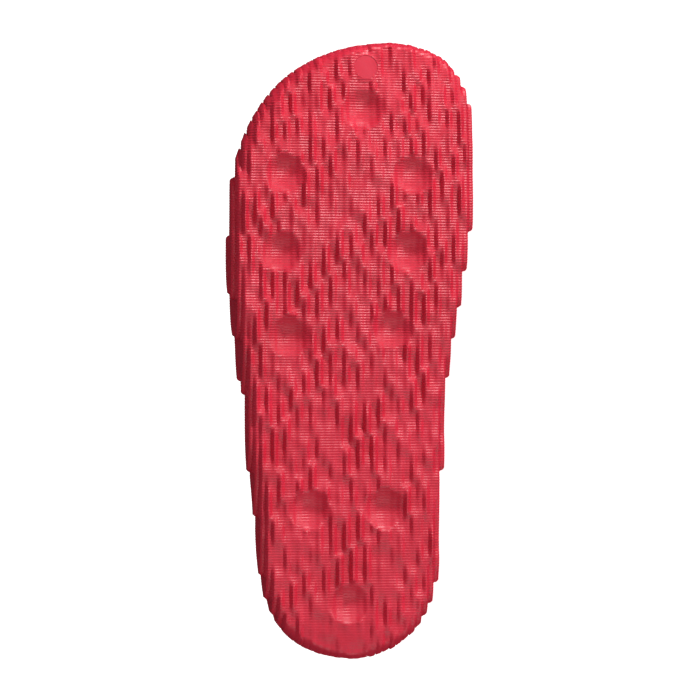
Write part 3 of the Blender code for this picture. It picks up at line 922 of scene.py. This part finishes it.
class SlideColours(bpy.types.PropertyGroup):
    """Colours that a user would change, as sRGB hex values."""

    sole_main: bpy.props.StringProperty(
        name="Sole", description="Main red of the sole", default="#CB253D")
    sole_deep: bpy.props.StringProperty(
        name="Sole, deeper", description="Deeper red in the sole's cloudy tone", default="#C01E35")
    strap_main: bpy.props.StringProperty(
        name="Strap", description="Main red of the strap", default="#CA243D")
    strap_deep: bpy.props.StringProperty(
        name="Strap, deeper", description="Deeper red in the strap's cloudy tone", default="#BE1E35")
    # This paler red is a painted sheen on the smooth flat mark
    mark: bpy.props.StringProperty(
        name="Mark", description="Paler red of the mould's flat mark", default="#DC5266")
    bed_main: bpy.props.StringProperty(
        name="Footbed", description="Main red of the footbed", default="#C6243B")
    bed_deep: bpy.props.StringProperty(
        name="Footbed, deeper", description="Deeper red in the footbed's cloudy tone", default="#BA1E33")
    floor: bpy.props.StringProperty(
        name="Floor", description="Pale floor", default="#F4F4F4")


class SLIDE_OT_sole(bpy.types.Operator):
    """Builds the sole: slices with waves, dishes, stepped wall, recess, ledge and ribs"""

    bl_idname = "slide.sole"
    bl_label = "Build sole"

    def execute(self, context):
        sizes = context.scene.slide_sizes
        edges = slice_edges()[:-1]
        back, front = outline_reach((edges[:-1] + edges[1:]) / 2.0)
        plates = [plate for plate in zip(edges, edges[1:], back, front) if np.isfinite(plate[2])]

        def follow(x, end, offsets, side):
            """Offsets that trim the slices to the smooth outline at toe and heel tips."""
            station = end / LENGTH
            if side:
                inner = float(smooth(*TRIM_TOE, station))
                outer = float(smooth(*TRIM_OUTER_TOE, station))
                share = inner + (outer - inner) * float(smooth(*OUTER_HALF, x.mean()))
            else:
                share = 1.0 - float(smooth(*TRIM_HEEL, station))
            traced = outline_reach(x)[side]
            traced = np.where(np.isfinite(traced), traced - end, offsets)
            return offsets + (traced - offsets) * share

        piece = sliced_solid(
            "sole_moulding", plates, lambda s, x, y: sole_heights(s, x, y, sizes.tread_depth),
            sizes.rib_pitch, sizes.riser, sizes.soft_edge, sizes.corner, follow)
        cut(piece, recess_cutter())
        cut(piece, ledge_cutter())
        cut(piece, mark_cutter())
        clear_flaps(piece)
        place = places_of(piece)
        y = place[:, 1]
        share = smooth(0.0, RIB_FREE_HEEL, y) * smooth(0.0, RIB_FREE_TOE, LENGTH - y)
        share *= HEEL_RIBS + (1.0 - HEEL_RIBS) * smooth(*HEEL_RIBS_RISE, y / LENGTH)
        share *= BACK_RIBS + (1.0 - BACK_RIBS) * smooth(*MIDDLE_RIBS_RISE, y / LENGTH)
        mark = np.hypot(place[:, 0] - MARK[1] * BALL_WIDTH, y - MARK[0] * LENGTH)
        share = np.where(mark < MARK_RADIUS + MARK_CLEAR, 0.0, share)
        colours = context.scene.slide_colours
        # The sole's flat mark takes a paler red, a painted sheen, over a rough finish
        foam = moulded_foam("red EVA foam, moulded sole", colours.sole_main, colours.sole_deep,
                            colours.mark, *SATIN)
        # Corners of the flat mark at the toe, where the paler red is painted as a sheen and the skin is
        # rough
        mark_painted_sheen_and_rough = smooth(0.0, MARK_FADE, MARK_RADIUS - mark) * (y > MARK[0] * LENGTH - MARK_RADIUS)
        mark_painted_sheen_and_rough *= place[:, 2] < rim(y) / 2.0
        store_share(piece, "dull_and_painted_sheen_share", mark_painted_sheen_and_rough)
        press_ribs(piece, share, sizes.rib_depth, foam)
        finish_piece(piece, "sole_unit")
        return {"FINISHED"}


def recess_points(gap, station_count, lanes, height):
    """Points over the recess, drawn in by a gap all round."""
    angles = np.linspace(BED_END_ANGLE, math.pi - BED_END_ANGLE, station_count)
    station = (1.0 - np.cos(angles)) / 2.0
    y = RIM_END + gap + station * (LENGTH - 2.0 * (RIM_END + gap))
    half = bed_half_width(station) - gap
    middle = bed_centre(station)
    u = np.linspace(-1.0, 1.0, lanes)
    x = middle[:, None] + u[None, :] * half[:, None]
    ys = np.repeat(y[:, None], lanes, axis=1)
    return np.stack((x, ys, height(ys, u[None, :] + 0.0 * ys)), axis=-1)


def recess_cutter():
    """The recess for the footbed, open above."""
    low = recess_points(0.0, RECESS_STATIONS, RECESS_LANES, lambda y, u: bed(y) - BED_THICKNESS)
    top = recess_points(0.0, RECESS_STATIONS, RECESS_LANES, lambda y, u: 0.0 * y + HEEL_HEIGHT + CLEAR_BACK)
    return grid_solid("recess", low, top)


def ledge_cutter():
    """Lowers the rim to the ledge where the strap's feet stand."""
    back = STRAP_BACK * LENGTH - SEAT_GAP
    front = STRAP_FRONT * LENGTH + SEAT_GAP
    seat = strap_seat()
    low = [[(side * BALL_WIDTH, y, seat) for side in (-1.0, 1.0)] for y in (back, front)]
    top = [[(side * BALL_WIDTH, y, seat + HEEL_HEIGHT) for side in (-1.0, 1.0)] for y in (back, front)]
    return grid_solid("ledge", low, top)


def mark_cutter():
    """A shallow drum that leaves the mould's flat mark at the toe."""
    y = MARK[0] * LENGTH
    slope = float(lift(y + MARK_RADIUS) - lift(y - MARK_RADIUS)) / (2.0 * MARK_RADIUS)
    surface = float(lift(y)) + MARK_LEVEL * bpy.context.scene.slide_sizes.tread_depth + MARK_DEPTH
    turns = np.linspace(0.0, FULL_TURN, MARK_SIDES, endpoint=False)
    ring = np.stack((MARK_RADIUS * np.cos(turns), MARK_RADIUS * np.sin(turns), 0.0 * turns), axis=1)
    tilt = np.array(Matrix.Rotation(math.atan(slope), 3, "X"))
    place = np.array((MARK[1] * BALL_WIDTH, y, surface))
    top = ring @ tilt.T + place
    low = (ring - np.array((0.0, 0.0, 2.0 * TOE_SPRING))) @ tilt.T + place
    faces = [list(range(MARK_SIDES)), list(range(2 * MARK_SIDES - 1, MARK_SIDES - 1, -1))]
    for n in range(MARK_SIDES):
        after = (n + 1) % MARK_SIDES
        faces.append([n, n + MARK_SIDES, after + MARK_SIDES, after])
    return make_mesh("mark", np.concatenate((top, low)), faces)


class SLIDE_OT_footbed(bpy.types.Operator):
    """Builds the footbed that fills the recess"""

    bl_idname = "slide.footbed"
    bl_label = "Build footbed"

    def execute(self, context):
        sizes = context.scene.slide_sizes

        def face(y, u):
            """Height of the footbed's face, from its inner edge at u = -1 to its outer edge at 1."""
            station = y / LENGTH
            cup = BED_CUP * (CUP_LEFT + (1.0 - CUP_LEFT) * np.clip(1.0 - station / CUP_END, 0.0, 1.0))
            arch = np.exp(-((station - ARCH_STATION) / ARCH_SPREAD) ** 2)
            arch = ARCH_RISE * arch * np.maximum(0.0, -u) ** 2
            edge = BED_EDGE_DROP * np.clip((np.abs(u) - BED_EDGE[0]) / BED_EDGE[1], 0.0, 1.0) ** 2
            return bed(y) + cup * np.abs(u) ** 3 + arch - edge

        rows = int(round((LENGTH - 2.0 * RIM_END) / (sizes.rib_pitch / 2.0)))
        low = recess_points(SEAT_GAP, rows, BED_LANES, lambda y, u: bed(y) - BED_THICKNESS + SEAT_GAP)
        top = recess_points(SEAT_GAP, rows, BED_LANES, face)
        piece = grid_solid("footbed_moulding", low, top)
        colours = context.scene.slide_colours
        foam = moulded_foam("red EVA foam, footbed", colours.bed_main, colours.bed_deep,
                            colours.bed_main, *MATT)
        press_ribs(piece, np.ones(len(piece.data.vertices)), BED_RIBS * sizes.rib_depth, foam)
        finish_piece(piece, "footbed")
        return {"FINISHED"}


def tunnel_cutter():
    """The room for the foot under the strap."""
    seat = strap_seat()
    over = (BACK_ADVANCE + FRONT_ADVANCE) / LENGTH
    shares = np.linspace(STRAP_BACK - over, STRAP_FRONT + over, TUNNEL_RINGS)
    angles = np.linspace(0.0, math.pi, TUNNEL_SIDES)
    rings = []
    for share in shares:
        y = share * LENGTH
        half = float(bed_half_width(bed_station(y)))
        middle = float(bed_centre(bed_station(y)))
        crown = float(tunnel_height(y))
        across = np.sign(np.cos(angles)) * np.abs(np.cos(angles)) ** (2.0 / ARCH_SQUARENESS)
        rise = np.abs(np.sin(angles)) ** (2.0 / ARCH_SQUARENESS)
        ring = [(middle - half, y, 0.0), (middle + half, y, 0.0)]
        ring += [(middle + half * a, y, seat + crown * h) for a, h in zip(across, rise)]
        rings.append(ring)
    size = len(rings[0])
    faces = [list(range(size)), list(range(size * len(rings) - 1, size * (len(rings) - 1) - 1, -1))]
    for r in range(len(rings) - 1):
        for n in range(size):
            after = (n + 1) % size
            faces.append([r * size + n, r * size + after, (r + 1) * size + after, (r + 1) * size + n])
    return make_mesh("tunnel", np.array(rings).reshape(-1, 3), faces)


def inside_strap(place):
    """1 at the corners on the strap's inner face, 0 at the rest."""
    y = place[:, 1]
    middle = bed_centre(bed_station(y))
    across = np.abs(place[:, 0] - middle) / bed_half_width(bed_station(y))
    rise = np.maximum(place[:, 2] - strap_seat(), 0.0) / tunnel_height(y)
    return across ** ARCH_SQUARENESS + rise ** ARCH_SQUARENESS < INSIDE_REACH


class SLIDE_OT_strap(bpy.types.Operator):
    """Builds the broad strap: slices over a hollow arch, with ribs"""

    bl_idname = "slide.strap"
    bl_label = "Build strap"

    def execute(self, context):
        sizes = context.scene.slide_sizes
        seat = strap_seat() + SEAT_GAP
        edges = slice_edges()
        plates = []
        for number, (left, right) in enumerate(zip(edges, edges[1:])):
            reach = strap_reach((left + right) / 2.0, number)
            if reach is not None and reach[1] - reach[0] > LEAST_FOOT:
                plates.append((left, right, *reach))

        def heights(slice_x, x, y):
            """Flat foot and waved outer face of the strap, before the tunnel is cut."""
            top = strap_top(slice_x, y)
            wave = sizes.strap_relief * (tread_relief(slice_x, y) - 0.5)
            face = np.maximum(top + wave * smooth(*STRAP_WAVES_RISE, top), LEAST_STRAP)
            return 0.0 * y + seat, seat + face

        piece = sliced_solid("strap_moulding", plates, heights, sizes.rib_pitch,
                             sizes.riser, sizes.soft_edge, sizes.corner)
        cut(piece, tunnel_cutter())
        clear_flaps(piece)
        colours = context.scene.slide_colours
        foam = moulded_foam("red EVA foam, moulded strap", colours.strap_main, colours.strap_deep,
                            colours.strap_main, *SATIN)
        place = places_of(piece)
        share = smooth(*STRAP_RIBS_RISE, place[:, 2] - seat)
        store_share(piece, "dull_and_painted_sheen_share", inside_strap(place))
        press_ribs(piece, share, sizes.rib_depth, foam)
        finish_piece(piece, "strap_upper")
        return {"FINISHED"}


def softbox(name, facing, off, to_toe, to_inner, distance, width, power):
    """Sets up a round lamp aimed at the shoe. On the strap's side it gives diffuse light only."""
    turn = SHOE.to_3x3()
    aside = turn.col[1] * to_toe - turn.col[0] * to_inner
    direction = (facing * -turn.col[2] + off * aside).normalized()
    lamp = bpy.data.lights.new(name, "AREA")
    lamp.shape = "DISK"
    lamp.size = width
    lamp.energy = power
    made = bpy.data.objects.new(name, lamp)
    middle = SHOE @ Vector((0.0, LENGTH / 2.0, 0.0))
    made.location = middle + direction * distance
    made.rotation_euler = (-direction).to_track_quat("-Z", "Y").to_euler()
    made.visible_glossy = facing > 0.0
    bpy.context.scene.collection.objects.link(made)


class SLIDE_OT_stage(bpy.types.Operator):
    """Sets up the pale floor, the soft studio lights and the camera"""

    bl_idname = "slide.stage"
    bl_label = "Set the stage"

    def execute(self, context):
        scene = context.scene
        floor_mesh = bpy.data.meshes.new("floor")
        corners = [(x * FLOOR_REACH, y * FLOOR_REACH, 0.0) for x, y in ((-1, -1), (1, -1), (1, 1), (-1, 1))]
        floor_mesh.from_pydata(corners, [], [(0, 1, 2, 3)])
        floor = bpy.data.objects.new("floor", floor_mesh)
        scene.collection.objects.link(floor)
        # Acrylic that glows evenly, so that it shows as plain white with no shadow
        pale = bpy.data.materials.new("pale acrylic shooting table, lit from below")
        pale.use_nodes = True
        shader = pale.node_tree.nodes["Principled BSDF"]
        shader.inputs["Base Color"].default_value = linear(scene.slide_colours.floor)
        shader.inputs["Roughness"].default_value = 0.8
        shader.inputs["Emission Color"].default_value = (1.0, 1.0, 1.0, 1.0)
        shader.inputs["Emission Strength"].default_value = 1.0
        floor.data.materials.append(pale)
        floor.visible_shadow = False
        floor.visible_diffuse = False
        floor.visible_glossy = False

        world = bpy.data.worlds.new("pale room")
        scene.world = world
        world.use_nodes = True
        back = world.node_tree.nodes["Background"]
        back.inputs["Color"].default_value = (1.0, 1.0, 1.0, 1.0)
        back.inputs["Strength"].default_value = ROOM_LIGHT
        world.cycles_visibility.glossy = False

        for lamp in LAMPS:
            softbox(*lamp)

        lens = bpy.data.cameras.new("camera")
        camera = bpy.data.objects.new("camera", lens)
        scene.collection.objects.link(camera)
        turn = SHOE.to_3x3()
        field = math.radians(VIEW_FIELD)
        lens.sensor_fit = "HORIZONTAL"
        lens.angle = field
        target = SHOE @ Vector(VIEW_AIM)
        tilt = math.radians(VIEW_TILT)
        back_way = turn @ Vector((math.sin(tilt), 0.0, -math.cos(tilt)))
        distance = PHOTO_WIDTH * PHOTO_PIXEL / 2.0 / math.tan(field / 2.0)
        right = turn.col[1].cross(back_way).normalized()
        up = back_way.cross(right).normalized()
        place = Matrix((right, up, back_way)).transposed().to_4x4()
        camera.matrix_world = Matrix.Translation(target + back_way * distance) @ place
        lens.clip_end = VIEW_END
        scene.view_settings.view_transform = "Standard"
        scene.camera = camera
        return {"FINISHED"}


class SLIDE_PT_panel(bpy.types.Panel):
    """Lists the steps in the sidebar"""

    bl_idname = "SLIDE_PT_panel"
    bl_label = "Slide sandal"
    bl_space_type = "VIEW_3D"
    bl_region_type = "UI"
    bl_category = "Slide"

    def draw(self, context):
        layout = self.layout
        for step in STEPS:
            layout.operator(step.bl_idname)
        for group in (context.scene.slide_sizes, context.scene.slide_colours):
            for name in group.__annotations__:
                layout.prop(group, name)


STEPS = (SLIDE_OT_sole, SLIDE_OT_footbed, SLIDE_OT_strap, SLIDE_OT_stage)
CLASSES = (SlideSizes, SlideColours, *STEPS, SLIDE_PT_panel)


def register():
    for made in CLASSES:
        bpy.utils.register_class(made)
    bpy.types.Scene.slide_sizes = bpy.props.PointerProperty(type=SlideSizes)
    bpy.types.Scene.slide_colours = bpy.props.PointerProperty(type=SlideColours)


def unregister():
    del bpy.types.Scene.slide_colours
    del bpy.types.Scene.slide_sizes
    for made in reversed(CLASSES):
        bpy.utils.unregister_class(made)


def main():
    register()
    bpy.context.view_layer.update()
    bpy.ops.slide.sole()
    bpy.ops.slide.footbed()
    bpy.ops.slide.strap()
    bpy.ops.slide.stage()
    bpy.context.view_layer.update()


if __name__ == "__main__":
    main()
